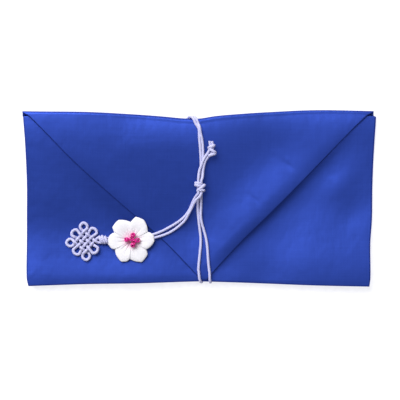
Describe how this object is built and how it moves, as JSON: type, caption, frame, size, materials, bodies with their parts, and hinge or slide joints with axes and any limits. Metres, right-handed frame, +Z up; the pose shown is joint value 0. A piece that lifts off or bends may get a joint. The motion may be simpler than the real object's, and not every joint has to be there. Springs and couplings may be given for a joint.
{
  "type": "fabric gift envelope",
  "caption": "Flat satin gift envelope with a pointed fold-over flap, tied round the middle with a doubled cord that carries a ribbon flower and a woven ornament knot.",
  "frame": {"origin": "on the floor under the middle of the envelope's box", "axes": "+X along the envelope to the right, +Y to the flap's fold, +Z up out of the front"},
  "size_m": [0.1995, 0.0994, 0.0151],
  "materials": {
    "satin": "royal blue satin with a fine slub",
    "cord": "lavender braided round cord",
    "petal": "white ribbon",
    "bead": "clear magenta glass"
  },
  "bodies": {
    "root": {"pocket_front": "satin", "pocket_back": "satin", "flap": "satin", "wrap_cord_left": "cord", "wrap_cord_right": "cord", "flower_cord_upper": "cord", "flower_cord_lower": "cord", "end_cord_left": "cord", "end_cord_right": "cord", "centre_knot": "cord", "end_knot": "cord", "connector_knot": "cord", "ornament_knot": "cord", "flower_pad": "petal", "petal_1": "petal", "petal_2": "petal", "petal_3": "petal", "petal_4": "petal", "petal_5": "petal", "petal_6": "petal", "bead_1": "bead", "bead_2": "bead", "bead_3": "bead", "bead_4": "bead", "bead_5": "bead", "bead_6": "bead"}
  },
  "joints": []
}
